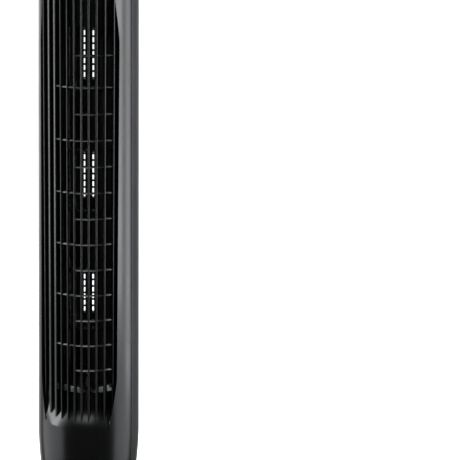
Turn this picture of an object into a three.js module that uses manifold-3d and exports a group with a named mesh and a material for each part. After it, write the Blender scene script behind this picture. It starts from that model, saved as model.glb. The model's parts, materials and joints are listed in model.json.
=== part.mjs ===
// Tower fan: a slim oscillating tower on a round base, with a cross-flow impeller.
// Millimetres, +Z up. Origin at the middle of the floor under the base. Air leaves towards -Y.
import * as THREE from 'three';
import { mergeGeometries, mergeVertices } from 'three/addons/utils/BufferGeometryUtils.js';
import ManifoldModule from 'manifold-3d';

const wasm = await ManifoldModule();
wasm.setup();

// ---------- driving dimensions ----------
const GAP = 0.3;                    // left between pieces that touch
const RUNNING = 0.08;               // radial clearance of a shaft in its bush
const SEGMENTS = 36;                // facets round the large turned pieces
const DEG = Math.PI / 180;

// base
const FOOT_COUNT = 5;
const FOOT_RADIUS = 9;
const FOOT_HEIGHT = 3;
const FOOT_INSET = 22;              // foot centres inside the base's rim
const BASE_RADIUS = 120;
const BASE_EDGE_HEIGHT = 13;        // upright rim of the base cover
const BASE_HEIGHT = 40;             // floor to the flat top that carries the tower
const BASE_TOP_RADIUS = 58;
const BASE_WALL = 2.5;
const PLATE = 3;                    // base plate thickness
const SPIGOT_RADIUS = 28;
const SPIGOT_WALL = 8;
const BASE_SCREW_INSET = 12;
const BALLAST_INSET = 22;
const BALLAST_CLEARANCE = 5.5;      // from the swivel motor
const BALLAST_HEIGHT = 4;

// swivel drive
const GEAR_MODULE = 1.5;
const SECTOR_TEETH = 48;            // teeth that a full wheel would have
const SECTOR_CUT_TEETH = 15;        // teeth that the sector has
const PINION_TEETH = 12;
const GEAR_WIDTH = 5;
const SWIVEL_MOTOR_RADIUS = 17.5;
const SWIVEL_MOTOR_HEIGHT = 15;
const SLIP_RING = 2;

// tower casing
const TOWER_TOP = 760;
const CAP_HEIGHT = 60;
const CAP_ROUND = 12;               // rounding of the cap's upper edge
const SKIRT = 7;                    // the cap's skirt reaches this far into the shells
const LEDGE = 4;                    // what the control panel rests on
const TOWER_RADIUS_LOW = 62;        // where the lower curve ends
const TOWER_RADIUS_HIGH = 58;       // under the top cap
const LOWER_CURVE_TOP = 130;
const LOWER_CURVE_RADIUS = 510;     // side-view radius of the drawn-in lower end
const WALL = 2.5;
const FRONT_HALF_ANGLE = 75;        // the front shell covers this far each side of the front
const FOOT_FLANGE = 3.6;            // thickness of the tower foot's disc
const FOOT_COLLAR = 12;             // height of its collar inside the shells

// outlet grille
const FIN_PITCH = 8.4;
const FIN_COUNT = 11;
const FIN_THICKNESS = 2.4;
const FIN_RADIUS = 58;              // front edges of the fins
const FLOOR_RADIUS = 50;            // floor of the recess behind the fins
const END_SLOT = 4.8;               // gap between the outermost fin and the recess's side
const RECESS_TAPER = 7.5;           // the recess's ends are narrower by this on each side
const RECESS_LOW = 146;
const RECESS_BELOW_CAP = 12;
const FINS_LOW = 156;
const FINS_BELOW_CAP = 23;
const OUTLET_LOW = 187;
const OUTLET_BELOW_CAP = 69.5;
const TAPER_START = 12;             // the recess narrows from this far inside the outlet's ends
const LEFT_OPEN_FINS = 3;           // fins left of the middle that stand over the outlet
const LEFT_MARGIN = 1.6;
const RIGHT_MARGIN = 0.4;
const RIB_PITCH = 31.25;
const RIB_THICKNESS = 2;
const RIB_DEPTH = 4;

// intake grille and carrying grip in the rear shell
const INTAKE_PITCH = 8.5;
const INTAKE_SLOT = 6;
const INTAKE_HALF_ANGLE = 45;        // half of the arc that the intake panel covers
const INTAKE_FRAME = 4.4;           // plain border at the panel's sides
const INTAKE_BORDER = 6;            // plain border above and below the slots
const INTAKE_SEGMENTS = 24;
const GRIP_WIDTH = 74;
const GRIP_HEIGHT = 30;
const GRIP_BELOW_CAP = 33;          // to the grip's middle
const GRIP_WALL = 2;
const GRIP_BACK = 34;

// impeller and its motor
const IMPELLER_RADIUS = 37;
const IMPELLER_INNER = 27.5;
const IMPELLER_SECTIONS = 6;
const DISC = 2;
const BLADES = 14;
const BLADE_THICKNESS = 1.1;
const BLADE_PITCH_ANGLE = 28;
const IMPELLER_LOW = 190;
const IMPELLER_BELOW_OUTLET = 0.5;  // from the outlet's upper edge to the top disc
const STUB_RADIUS = 3;
const SHAFT_RADIUS = 4;
const BUSH_RADIUS = 8;
const DUCT_SHEET = 1.8;
const PLATE_CLEARANCE = 0.7;        // inner plates stay this far inside the recess floor
const MOTOR_RADIUS = 38;
const MOTOR_LOW = 122;
const MOTOR_HEIGHT = 48;
const MOTOR_WALL = 1.6;
const MOTOR_LID = 4;
const STATOR_INNER = 20;
const MOTOR_SCREW_CIRCLE = 28;

// controls
const PANEL_RADIUS = 43;
const PANEL = 2.5;
const BUTTON_LENGTH = 17;
const BUTTON_WIDTH = 10;
const BUTTON_TRAVEL = 1;
const BUTTON_SPACING = 15;
const BUTTON_PROUD = 1.6;
const BUTTON_FLANGE = 1.2;          // keeps the button under the panel
const BUTTON_Y = -12;
const WINDOW_Y = 12;
const WINDOW_LENGTH = 40;
const WINDOW_WIDTH = 8;
const WINDOW_THICKNESS = 1.2;
const SWITCH_SIZE = 6;
const SWITCH_HEIGHT = 3.5;
const BOARD = 1.6;
const BOARD_POST_SIDE = 30;
const BOARD_POST_RADIUS = 2.5;
const BOARD_DROP = 12;              // panel underside to the board's top

// screws
const SCREW_RADIUS = 1.5;
const SCREW_HEAD = 3;
const SCREW_HEAD_HEIGHT = 2;
const POST_RADIUS = 4.2;
const POST_SIDE = 44;
const LOW_POST = 112;
const HIGH_POST_BELOW_CAP = 15;
const POST_JOINT = 0;               // where the front and rear posts meet, along Y
const POST_SEAT = 10;               // where the screw head sits, along Y
const SCREW_DEPTH = 14;             // how far the thread reaches past the joint

// cord gland
const GLAND_RADIUS = 4.6;
const GLAND_BORE = 3.5;
const GLAND_HEIGHT = 12.6;
const GLAND_FLANGE = 1;

// ---------- worked out from them ----------
const plateLow = FOOT_HEIGHT + GAP;
const plateHigh = plateLow + PLATE;
const coverLow = plateHigh + GAP;
const slipLow = BASE_HEIGHT + GAP;
const footLow = slipLow + SLIP_RING + GAP;
const footHigh = footLow + FOOT_FLANGE;
const towerLow = footHigh + GAP;
const capLow = TOWER_TOP - CAP_HEIGHT;
const shellHigh = capLow - GAP;
const recessHigh = capLow - RECESS_BELOW_CAP;
const finsHigh = capLow - FINS_BELOW_CAP;
const outletHigh = capLow - OUTLET_BELOW_CAP;
const lastFin = (FIN_COUNT - 1) / 2 * FIN_PITCH;
const recessHalfWidth = lastFin + FIN_THICKNESS / 2 + END_SLOT;
const outletLeft = -(LEFT_OPEN_FINS * FIN_PITCH + FIN_THICKNESS / 2 + LEFT_MARGIN);
const outletRight = lastFin - RIGHT_MARGIN;
const ribCount = Math.floor((outletHigh - OUTLET_LOW) / RIB_PITCH) - 1;
const gripMiddle = capLow - GRIP_BELOW_CAP;
const postHeights = [LOW_POST, capLow - HIGH_POST_BELOW_CAP];
const plateRadius = FLOOR_RADIUS - WALL - PLATE_CLEARANCE;
const impellerHigh = outletHigh - IMPELLER_BELOW_OUTLET;
const sectionHeight = (impellerHigh - IMPELLER_LOW - DISC) / IMPELLER_SECTIONS;
const sectorPitchRadius = GEAR_MODULE * SECTOR_TEETH / 2;
const pinionPitchRadius = GEAR_MODULE * PINION_TEETH / 2;
const pinionAt = sectorPitchRadius + pinionPitchRadius;
const baseScrewCircle = BASE_RADIUS - BASE_SCREW_INSET;
const footCircle = BASE_RADIUS - FOOT_INSET;
const ballastInner = pinionAt + SWIVEL_MOTOR_RADIUS + BALLAST_CLEARANCE;
const ballastOuter = BASE_RADIUS - BALLAST_INSET;
const motorHigh = MOTOR_LOW + MOTOR_HEIGHT;
const bracketLow = motorHigh + 4;
const bracketHigh = bracketLow + 3;
const bearingLow = impellerHigh + 8;
const panelHigh = TOWER_TOP - 4;
const panelLow = panelHigh - PANEL;
const boardHigh = panelLow - BOARD_DROP;
const swivelMotorHigh = plateHigh + GAP + SWIVEL_MOTOR_HEIGHT;
const sectorLow = swivelMotorHigh + 4;
const sectorHigh = sectorLow + GEAR_WIDTH;
const intakeCount = Math.floor((outletHigh - OUTLET_LOW) / INTAKE_PITCH);
const intakeHeight = (intakeCount - 1) * INTAKE_PITCH + INTAKE_SLOT + 2 * INTAKE_BORDER;
const intakeLow = (OUTLET_LOW + outletHigh - intakeHeight) / 2;
const intakeHigh = intakeLow + intakeHeight;

// Outer radius of the tower's casing at a height.
function casingRadius(z) {
  if (z < LOWER_CURVE_TOP) {
    return TOWER_RADIUS_LOW - (LOWER_CURVE_TOP - z) ** 2 / (2 * LOWER_CURVE_RADIUS);
  }
  const share = (z - LOWER_CURVE_TOP) / (capLow - LOWER_CURVE_TOP);
  return TOWER_RADIUS_LOW + share * (TOWER_RADIUS_HIGH - TOWER_RADIUS_LOW);
}

// ---------- solids ----------
// A welded geometry without slivers, as a Manifold.
function solid(geometry) {
  const bare = new THREE.BufferGeometry();
  bare.setAttribute('position', geometry.getAttribute('position').clone());
  if (geometry.index) bare.setIndex(geometry.index.clone());
  const welded = mergeVertices(bare, 1e-4);
  const p = welded.getAttribute('position');
  const index = welded.index.array;
  const faces = [];
  let volume = 0;
  const a = new THREE.Vector3();
  const b = new THREE.Vector3();
  const c = new THREE.Vector3();
  for (let i = 0; i < index.length; i += 3) {
    const [u, v, w] = [index[i], index[i + 1], index[i + 2]];
    if (u === v || v === w || w === u) continue;
    faces.push([u, v, w]);
    volume += a.fromBufferAttribute(p, u).dot(b.fromBufferAttribute(p, v).cross(c.fromBufferAttribute(p, w)));
  }
  const ordered = volume < 0 ? faces.map(([u, v, w]) => [u, w, v]) : faces;
  return new wasm.Manifold(new wasm.Mesh({
    numProp: 3,
    vertProperties: Float32Array.from(p.array),
    triVerts: Uint32Array.from(ordered.flat()),
  }));
}

// A Manifold as a three.js geometry with flat shading.
function shown(manifold) {
  const mesh = manifold.getMesh();
  const geometry = new THREE.BufferGeometry();
  geometry.setAttribute('position', new THREE.BufferAttribute(Float32Array.from(mesh.vertProperties), 3));
  geometry.setIndex(new THREE.BufferAttribute(Uint32Array.from(mesh.triVerts), 1));
  const flat = geometry.toNonIndexed();
  flat.computeVertexNormals();
  return flat;
}

// A closed profile of [radius, height] points turned about the Z axis.
function turned(profile, segments = SEGMENTS) {
  const points = [...profile, profile[0]].map(([r, z]) => new THREE.Vector2(r, z));
  return solid(new THREE.LatheGeometry(points, segments).rotateX(Math.PI / 2));
}

function disc(radius, low, high, segments = SEGMENTS) {
  return turned([[0, low], [radius, low], [radius, high], [0, high]], segments);
}

function ring(inner, outer, low, high, segments = SEGMENTS) {
  return turned([[inner, low], [outer, low], [outer, high], [inner, high]], segments);
}

function boxBetween(x0, x1, y0, y1, z0, z1) {
  const geometry = new THREE.BoxGeometry(x1 - x0, y1 - y0, z1 - z0);
  return geometry.translate((x0 + x1) / 2, (y0 + y1) / 2, (z0 + z1) / 2);
}

function block(...sides) {
  return solid(boxBetween(...sides));
}

// An outline extruded along an axis: 'x' takes (y, z) points, 'y' takes (x, z), 'z' takes (x, y).
function prism(outline, axis, from, to) {
  const shape = new THREE.Shape(outline.map(([u, v]) => new THREE.Vector2(u, v)));
  const geometry = new THREE.ExtrudeGeometry(shape, { depth: to - from, bevelEnabled: false });
  const X = new THREE.Vector3(1, 0, 0);
  const Y = new THREE.Vector3(0, 1, 0);
  const Z = new THREE.Vector3(0, 0, 1);
  if (axis === 'z') return solid(geometry.translate(0, 0, from));
  if (axis === 'x') {
    const turn = new THREE.Matrix4().makeBasis(Y, Z, X);
    return solid(geometry.applyMatrix4(turn).translate(from, 0, 0));
  }
  const turn = new THREE.Matrix4().makeBasis(X, Z, Y.clone().negate());
  return solid(geometry.applyMatrix4(turn).translate(0, to, 0));
}

// A round bar along Y or Z, with its middle line at the two other coordinates.
function barY(x, z, radius, from, to, segments = 16) {
  const bar = new THREE.CylinderGeometry(radius, radius, to - from, segments);
  return solid(bar.translate(x, (from + to) / 2, z));
}

function barZ(x, y, radius, from, to, segments = 16) {
  const bar = new THREE.CylinderGeometry(radius, radius, to - from, segments).rotateX(Math.PI / 2);
  return solid(bar.translate(x, y, (from + to) / 2));
}

function sum(...parts) {
  return parts.reduce((whole, part) => whole.add(part));
}

function polar(radius, degrees) {
  return [radius * Math.cos(degrees * DEG), radius * Math.sin(degrees * DEG)];
}

// A wedge about the Z axis from one angle to another, tall enough for the whole fan.
function wedge(from, to) {
  const steps = Math.ceil((to - from) / 30);
  const angles = Array.from({ length: steps + 1 }, (_, i) => from + (to - from) * i / steps);
  const rim = angles.map((angle) => polar(2 * BASE_RADIUS, angle));
  return prism([[0, 0], ...rim], 'z', -1, TOWER_TOP + 1);
}

// ---------- materials ----------
function finish(color, roughness, metalness = 0) {
  return new THREE.MeshStandardMaterial({ color, roughness, metalness });
}

const BLACK_GLOSS = finish(0x16181a, 0.22);
const BLACK_SATIN = finish(0x1b1d1f, 0.45);
const DARK_GREY = finish(0x34373a, 0.5);
const RUBBER = finish(0x101010, 0.9);
const STEEL = finish(0x9a9da0, 0.35, 0.9);
const ZINC = finish(0xb9bcbf, 0.4, 0.8);
const NYLON = finish(0xe8e6de, 0.5);
const COPPER = finish(0xa8622d, 0.4, 0.8);
const BOARD_GREEN = finish(0x1f5a3a, 0.6);
const SMOKED = finish(0x2a0f10, 0.15);
const BRONZE = finish(0x8c6a3f, 0.5, 0.7);

const fan = new THREE.Group();
fan.name = 'tower_fan';

function place(name, manifold, material) {
  const mesh = new THREE.Mesh(shown(manifold), material);
  mesh.name = name;
  fan.add(mesh);
}

// ---------- casing ----------
function casingProfile(inset, low, high) {
  const steps = 4;
  const curve = Array.from({ length: steps }, (_, i) => low + (LOWER_CURVE_TOP - low) * i / steps);
  return [...curve, LOWER_CURVE_TOP, high].map((z) => [casingRadius(z) - inset, z]);
}

function casingTube(low, high) {
  return turned([...casingProfile(0, low, high), ...casingProfile(WALL, low, high).reverse()]);
}

// All that lies inside the casing's surface by an inset.
function casingInside(inset, low, high) {
  return turned([[0, low], ...casingProfile(inset, low, high), [0, high]]);
}

// Screw posts join the two shells: the rear half holds the head, the front half the thread.
function eachPost(work) {
  for (const z of postHeights) for (const side of [-1, 1]) work(side * POST_SIDE, z);
}

// The floor of a slot rises to the fins' edge at both ends.
function slotProfile(middle) {
  const floorY = -Math.sqrt(FLOOR_RADIUS ** 2 - middle ** 2);
  const edgeY = -Math.sqrt(FIN_RADIUS ** 2 - middle ** 2);
  const steps = 4;
  const rise = (end, flat) => Array.from({ length: steps + 1 }, (_, i) => {
    const share = i / steps;
    return [edgeY + (floorY - edgeY) * Math.sin(share * Math.PI / 2), end + (flat - end) * share];
  });
  const out = -1.2 * TOWER_RADIUS_LOW;
  const lowRise = rise(FINS_LOW, OUTLET_LOW);
  const highRise = rise(finsHigh, outletHigh).reverse();
  return [[out, FINS_LOW], ...lowRise, ...highRise, [out, finsHigh]];
}

function slotWalls() {
  const walls = [-recessHalfWidth];
  for (let i = 0; i < FIN_COUNT; i += 1) {
    const middle = (i - (FIN_COUNT - 1) / 2) * FIN_PITCH;
    walls.push(middle - FIN_THICKNESS / 2, middle + FIN_THICKNESS / 2);
  }
  walls.push(recessHalfWidth);
  return walls;
}

function frontShell() {
  const front = wedge(-90 - FRONT_HALF_ANGLE, -90 + FRONT_HALF_ANGLE);
  let shell = casingTube(towerLow, shellHigh).intersect(front);

  // a thick block behind the grille, out of which the recess is cut
  const low = RECESS_LOW - WALL;
  const high = recessHigh + WALL;
  const backing = FLOOR_RADIUS - WALL;
  const side = recessHalfWidth + WALL;
  const thick = casingInside(1, low, high).subtract(disc(backing, low - 1, high + 1));
  shell = shell.add(thick.intersect(block(-side, side, -2 * TOWER_RADIUS_LOW, -1, low, high)));

  // the shallow scoop that the fins stand in
  const [w, e] = [recessHalfWidth, recessHalfWidth - RECESS_TAPER];
  const [straightLow, straightHigh] = [OUTLET_LOW + TAPER_START, outletHigh - TAPER_START];
  const outline = [
    [-e, RECESS_LOW], [e, RECESS_LOW], [w, straightLow], [w, straightHigh],
    [e, recessHigh], [-e, recessHigh], [-w, straightHigh], [-w, straightLow],
  ];
  const scoop = prism(outline, 'y', -2 * TOWER_RADIUS_LOW, -1);
  shell = shell.subtract(scoop.subtract(disc(FIN_RADIUS, low, high)));

  // the slots between the fins
  const walls = slotWalls();
  for (let i = 0; i < walls.length; i += 2) {
    const profile = slotProfile((walls[i] + walls[i + 1]) / 2);
    shell = shell.subtract(prism(profile, 'x', walls[i], walls[i + 1]).intersect(scoop));
  }

  // the outlet through the recess floor, with cross ribs on the backs of the fins
  const outlet = block(outletLeft, outletRight, -FLOOR_RADIUS, -1, OUTLET_LOW, outletHigh);
  shell = shell.subtract(outlet.intersect(disc(FLOOR_RADIUS, OUTLET_LOW, outletHigh)));
  for (let i = 1; i <= ribCount; i += 1) {
    const middle = i < ribCount ? OUTLET_LOW + i * RIB_PITCH : outletHigh - RIB_PITCH;
    const z = middle - RIB_THICKNESS / 2;
    const hoop = ring(FLOOR_RADIUS - 1, FLOOR_RADIUS - 1 + RIB_DEPTH, z, z + RIB_THICKNESS, 18);
    const from = i % 2 === 0 ? outletLeft - 1 : 0;
    const span = block(from, outletRight + 1, -FLOOR_RADIUS - RIB_DEPTH, -1, z - 1, z + RIB_THICKNESS + 1);
    shell = shell.add(hoop.intersect(span));
  }

  const inside = casingInside(1, towerLow, shellHigh);
  eachPost((x, z) => {
    const post = barY(x, z, POST_RADIUS, -TOWER_RADIUS_LOW, POST_JOINT - GAP / 2);
    shell = shell.add(post.intersect(inside));
    shell = shell.subtract(barY(x, z, SCREW_RADIUS + GAP, POST_JOINT - SCREW_DEPTH - 2, POST_JOINT));
  });
  return shell;
}

function rearShell() {
  const seam = FRONT_HALF_ANGLE + GAP / TOWER_RADIUS_LOW / DEG;
  let shell = casingTube(towerLow, shellHigh).intersect(wedge(-90 + seam, 270 - seam));

  const opening = INTAKE_HALF_ANGLE + GAP / TOWER_RADIUS_HIGH / DEG;
  const level = disc(2 * TOWER_RADIUS_LOW, intakeLow - GAP, intakeHigh + GAP, 8);
  shell = shell.subtract(wedge(90 - opening, 90 + opening).intersect(level));

  const inside = casingInside(1, towerLow, shellHigh);
  eachPost((x, z) => {
    const post = barY(x, z, POST_RADIUS + 0.6, POST_JOINT + GAP / 2, TOWER_RADIUS_LOW);
    shell = shell.add(post.intersect(inside));
    shell = shell.subtract(barY(x, z, SCREW_RADIUS + GAP, POST_JOINT - 1, POST_SEAT + 1));
    shell = shell.subtract(barY(x, z, SCREW_HEAD + GAP, POST_SEAT, 2 * TOWER_RADIUS_LOW));
  });

  const [w, h] = [GRIP_WIDTH / 2, GRIP_HEIGHT / 2];
  return shell.subtract(block(-w, w, 20, 2 * TOWER_RADIUS_LOW, gripMiddle - h, gripMiddle + h));
}

// The slotted panel that closes the rear shell's opening.
function intakePanel() {
  const outside = (z) => casingRadius(z) - GAP;
  const panel = turned([
    [outside(intakeLow), intakeLow], [outside(intakeHigh), intakeHigh],
    [outside(intakeHigh) - WALL, intakeHigh], [outside(intakeLow) - WALL, intakeLow],
  ], INTAKE_SEGMENTS).intersect(wedge(90 - INTAKE_HALF_ANGLE, 90 + INTAKE_HALF_ANGLE));
  const side = TOWER_RADIUS_HIGH * Math.sin(INTAKE_HALF_ANGLE * DEG) - INTAKE_FRAME;
  const windows = [];
  for (let i = 0; i < intakeCount; i += 1) {
    const z = intakeLow + INTAKE_BORDER + i * INTAKE_PITCH;
    windows.push(boxBetween(-side, side, 20, 2 * TOWER_RADIUS_LOW, z, z + INTAKE_SLOT));
  }
  return panel.subtract(solid(mergeGeometries(windows)));
}

function gripCup() {
  const w = GRIP_WIDTH / 2 - GAP;
  const [low, high] = [gripMiddle - GRIP_HEIGHT / 2 + GAP, gripMiddle + GRIP_HEIGHT / 2 - GAP];
  const envelope = turned([[0, low], [casingRadius(low), low], [casingRadius(high), high], [0, high]]);
  const outside = block(-w, w, GRIP_BACK, 2 * TOWER_RADIUS_LOW, low, high).intersect(envelope);
  const t = GRIP_WALL;
  return outside.subtract(block(-w + t, w - t, GRIP_BACK + t, 3 * TOWER_RADIUS_LOW, low + t, high - t));
}

function topCap() {
  const r = TOWER_RADIUS_HIGH;
  const arc = (radius, steps) => Array.from({ length: steps + 1 }, (_, i) => {
    const turn = 90 * i / steps * DEG;
    return [r - CAP_ROUND + radius * Math.cos(turn), TOWER_TOP - CAP_ROUND + radius * Math.sin(turn)];
  });
  const lip = PANEL_RADIUS + GAP;
  const skirt = r - WALL - GAP;
  return turned([
    [r, capLow], ...arc(CAP_ROUND, 5), [lip, TOWER_TOP], [lip, panelLow - GAP], [lip - LEDGE, panelLow - GAP],
    [lip - LEDGE, panelLow - GAP - WALL], ...arc(CAP_ROUND - WALL, 3).reverse().slice(1),
    [r - WALL, capLow + 2 * WALL], [skirt - WALL, capLow + WALL], [skirt - WALL, capLow - SKIRT],
    [skirt, capLow - SKIRT], [skirt, capLow],
  ]);
}

// ---------- controls ----------
const BUTTON_NAMES = ['power_button', 'speed_button', 'timer_button', 'swing_button'];
const buttonX = (i) => (i - (BUTTON_NAMES.length - 1) / 2) * BUTTON_SPACING;

// A block over a button's outline, wider by a margin on every side.
function buttonBlock(i, margin, low, high) {
  const [x, w, l] = [buttonX(i), BUTTON_WIDTH / 2 + margin, BUTTON_LENGTH / 2 + margin];
  return block(x - w, x + w, BUTTON_Y - l, BUTTON_Y + l, low, high);
}

function controlPanel() {
  let panel = disc(PANEL_RADIUS, panelLow, panelHigh);
  BUTTON_NAMES.forEach((_, i) => {
    panel = panel.subtract(buttonBlock(i, GAP, panelLow - 1, panelHigh + 1));
  });
  const [w, l] = [WINDOW_LENGTH / 2 + GAP, WINDOW_WIDTH / 2 + GAP];
  const seat = panelHigh - WINDOW_THICKNESS - GAP;
  panel = panel.subtract(block(-w, w, WINDOW_Y - l, WINDOW_Y + l, seat, panelHigh + 1));
  for (const x of [-BOARD_POST_SIDE, BOARD_POST_SIDE]) {
    panel = panel.add(barZ(x, WINDOW_Y, BOARD_POST_RADIUS, boardHigh + GAP, panelLow + 1, 12));
  }
  return panel;
}

function button(i) {
  const flangeLow = panelLow - GAP - BUTTON_FLANGE;
  const stemLow = boardHigh + SWITCH_HEIGHT + BUTTON_TRAVEL + 2 * GAP;
  const cap = buttonBlock(i, 0, flangeLow + GAP, panelHigh + BUTTON_PROUD);
  const flange = buttonBlock(i, BUTTON_FLANGE, flangeLow, panelLow - GAP);
  return sum(cap, flange, barZ(buttonX(i), BUTTON_Y, 2, stemLow, flangeLow + 1, 12));
}

function indicatorWindow() {
  const [w, l] = [WINDOW_LENGTH / 2, WINDOW_WIDTH / 2];
  return block(-w, w, WINDOW_Y - l, WINDOW_Y + l, panelHigh - WINDOW_THICKNESS, panelHigh);
}

function tactSwitch(i) {
  const [x, h, low] = [buttonX(i), SWITCH_SIZE / 2, boardHigh + GAP];
  const body = block(x - h, x + h, BUTTON_Y - h, BUTTON_Y + h, low, low + SWITCH_HEIGHT - 1);
  return body.add(barZ(x, BUTTON_Y, 1.7, low + 1, low + SWITCH_HEIGHT, 12));
}

// ---------- air path ----------
function impeller() {
  let rotor = disc(IMPELLER_RADIUS, IMPELLER_LOW, IMPELLER_LOW + DISC, 24);
  for (let i = 1; i < IMPELLER_SECTIONS; i += 1) {
    const z = IMPELLER_LOW + i * sectionHeight;
    rotor = rotor.add(ring(IMPELLER_INNER, IMPELLER_RADIUS, z, z + DISC, 24));
  }
  rotor = rotor.add(disc(IMPELLER_RADIUS, impellerHigh - DISC, impellerHigh, 24));
  const depth = IMPELLER_RADIUS - IMPELLER_INNER - 0.6;
  const blades = [];
  for (let s = 0; s < IMPELLER_SECTIONS; s += 1) {
    const low = IMPELLER_LOW + s * sectionHeight + DISC / 2;
    for (let i = 0; i < BLADES; i += 1) {
      const [d, t] = [depth / 2, BLADE_THICKNESS / 2];
      const blade = boxBetween(-d, d, -t, t, low, low + sectionHeight);
      blade.rotateZ(BLADE_PITCH_ANGLE * DEG).translate((IMPELLER_RADIUS + IMPELLER_INNER) / 2, 0, 0);
      blades.push(blade.rotateZ((i + (s % 2) / 2) * 2 * Math.PI / BLADES));
    }
  }
  for (const parity of [0, 1]) {
    const set = blades.filter((_, i) => Math.floor(i / BLADES) % 2 === parity);
    rotor = rotor.add(solid(mergeGeometries(set)));
  }
  rotor = rotor.add(disc(SHAFT_RADIUS + 5, IMPELLER_LOW - 9, IMPELLER_LOW + 1, 12));
  rotor = rotor.subtract(disc(SHAFT_RADIUS + GAP, IMPELLER_LOW - 10, IMPELLER_LOW - 2 + GAP, 12));
  rotor = rotor.add(disc(STUB_RADIUS + 5, impellerHigh - 1, impellerHigh + 5, 12));
  return rotor.subtract(disc(STUB_RADIUS + GAP, impellerHigh - DISC / 2, impellerHigh + 6, 12));
}

// A bent sheet that follows a spiral from one angle and radius to another.
function spiralSheet(fromAngle, fromRadius, toAngle, toRadius) {
  const steps = 8;
  const edge = (offset) => Array.from({ length: steps + 1 }, (_, i) => {
    const share = i / steps;
    const radius = fromRadius + (toRadius - fromRadius) * share ** 2 + offset;
    return polar(radius, fromAngle + (toAngle - fromAngle) * share);
  });
  return prism([...edge(0), ...edge(DUCT_SHEET).reverse()], 'z', bracketHigh + 3, bearingLow - GAP);
}

const NEAR_IMPELLER = IMPELLER_RADIUS + 2.2;
const ductEnd = FLOOR_RADIUS - WALL - GAP - DUCT_SHEET - 0.4;

function bearingPlate() {
  const plate = disc(plateRadius, bearingLow, bearingLow + WALL, 24);
  const boss = disc(BUSH_RADIUS + 4, bearingLow, bearingLow + BUSH_RADIUS, 16);
  return plate.add(boss).subtract(disc(BUSH_RADIUS + GAP, bearingLow - 1, bearingLow + BUSH_RADIUS + 1, 16));
}

// ---------- motor ----------
const motorScrewAngles = [30, 150, 270];

function motorLid() {
  let lid = disc(MOTOR_RADIUS, motorHigh - MOTOR_LID, motorHigh, 24);
  for (const angle of motorScrewAngles) {
    const [x, y] = polar(MOTOR_SCREW_CIRCLE, angle);
    lid = lid.add(barZ(x, y, 5, motorHigh - 1, bracketLow - GAP, 10));
    lid = lid.subtract(barZ(x, y, SCREW_RADIUS + GAP, motorHigh - 2, bracketLow + 1, 8));
  }
  return lid.subtract(disc(SHAFT_RADIUS + RUNNING, motorHigh - 5, motorHigh + 1, 16));
}

function motorCup() {
  const t = MOTOR_WALL;
  const top = motorHigh - MOTOR_LID - GAP;
  return turned([
    [0, MOTOR_LOW], [MOTOR_RADIUS, MOTOR_LOW], [MOTOR_RADIUS, top],
    [MOTOR_RADIUS - t, top], [MOTOR_RADIUS - t, MOTOR_LOW + t], [0, MOTOR_LOW + t],
  ], 24);
}

function motorBracket() {
  let plate = ring(SHAFT_RADIUS + 8, plateRadius, bracketLow, bracketHigh, 24);
  for (const angle of motorScrewAngles) {
    const [x, y] = polar(MOTOR_SCREW_CIRCLE, angle);
    plate = plate.subtract(barZ(x, y, SCREW_RADIUS + GAP, bracketLow - 1, bracketHigh + 1, 8));
  }
  return plate;
}

// A pan-head screw along Z: the head's seat, and which way the thread points.
function screwZ(x, y, seat, length, up) {
  const way = up ? 1 : -1;
  const [tipA, tipB] = [seat - way * 0.5, seat + way * length].sort((a, b) => a - b);
  const [headA, headB] = [seat - way * SCREW_HEAD_HEIGHT, seat].sort((a, b) => a - b);
  return barZ(x, y, SCREW_RADIUS, tipA, tipB, 8).add(barZ(x, y, SCREW_HEAD, headA, headB, 10));
}

// ---------- swivel drive ----------
// One tooth's outline about the angle 0, with involute flanks and play at the pitch circle.
function tooth(teeth) {
  const pitch = GEAR_MODULE * teeth / 2;
  const baseCircle = pitch * Math.cos(20 * DEG);
  const play = 0.55;
  const half = (Math.PI * GEAR_MODULE / 2 - play) / 2 / pitch;
  const involute = (r) => {
    const angle = Math.acos(Math.min(1, baseCircle / r));
    return Math.tan(angle) - angle;
  };
  const radii = [pitch - 1.2 * GEAR_MODULE, pitch + 0.8 * GEAR_MODULE];
  const angleAt = (r) => half + involute(pitch) - involute(r);
  const rising = radii.map((r) => [r, -angleAt(r)]);
  return [...rising, ...rising.map(([r, angle]) => [r, -angle]).reverse()];
}

function toothedOutline(teeth, count, middleAngle, plainRadius) {
  const step = 2 * Math.PI / teeth;
  const outline = [];
  for (let i = 0; i < count; i += 1) {
    const centre = middleAngle * DEG + (i - (count - 1) / 2) * step;
    outline.push(...tooth(teeth).map(([r, angle]) => polar(r, (centre + angle) / DEG)));
  }
  if (count < teeth) {
    const half = count * step / 2 / DEG;
    const end = middleAngle + 360 - half;
    for (let angle = middleAngle + half; angle <= end; angle += 12) outline.push(polar(plainRadius, angle));
  }
  return outline;
}

const swivelScrewAngles = [90, 210, 330];
const spigotMiddle = SPIGOT_RADIUS - SPIGOT_WALL / 2;

function swivelSector() {
  const outline = toothedOutline(SECTOR_TEETH, SECTOR_CUT_TEETH, 90, SPIGOT_RADIUS + 5);
  let sector = prism(outline, 'z', sectorLow, sectorHigh);
  sector = sector.subtract(disc(SPIGOT_RADIUS - SPIGOT_WALL, sectorLow - 1, sectorHigh + 1, 24));
  for (const angle of swivelScrewAngles) {
    const [x, y] = polar(spigotMiddle, angle);
    sector = sector.subtract(barZ(x, y, SCREW_RADIUS + GAP, sectorLow - 1, sectorHigh + 1, 8));
  }
  return sector;
}

function drivePinion() {
  const outline = toothedOutline(PINION_TEETH, PINION_TEETH, 90, 0);
  const pinion = prism(outline, 'z', sectorLow, sectorHigh);
  const bored = pinion.subtract(disc(2 + GAP, sectorLow - 1, sectorHigh + 1, 16));
  return bored.translate(0, pinionAt, 0);
}

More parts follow.
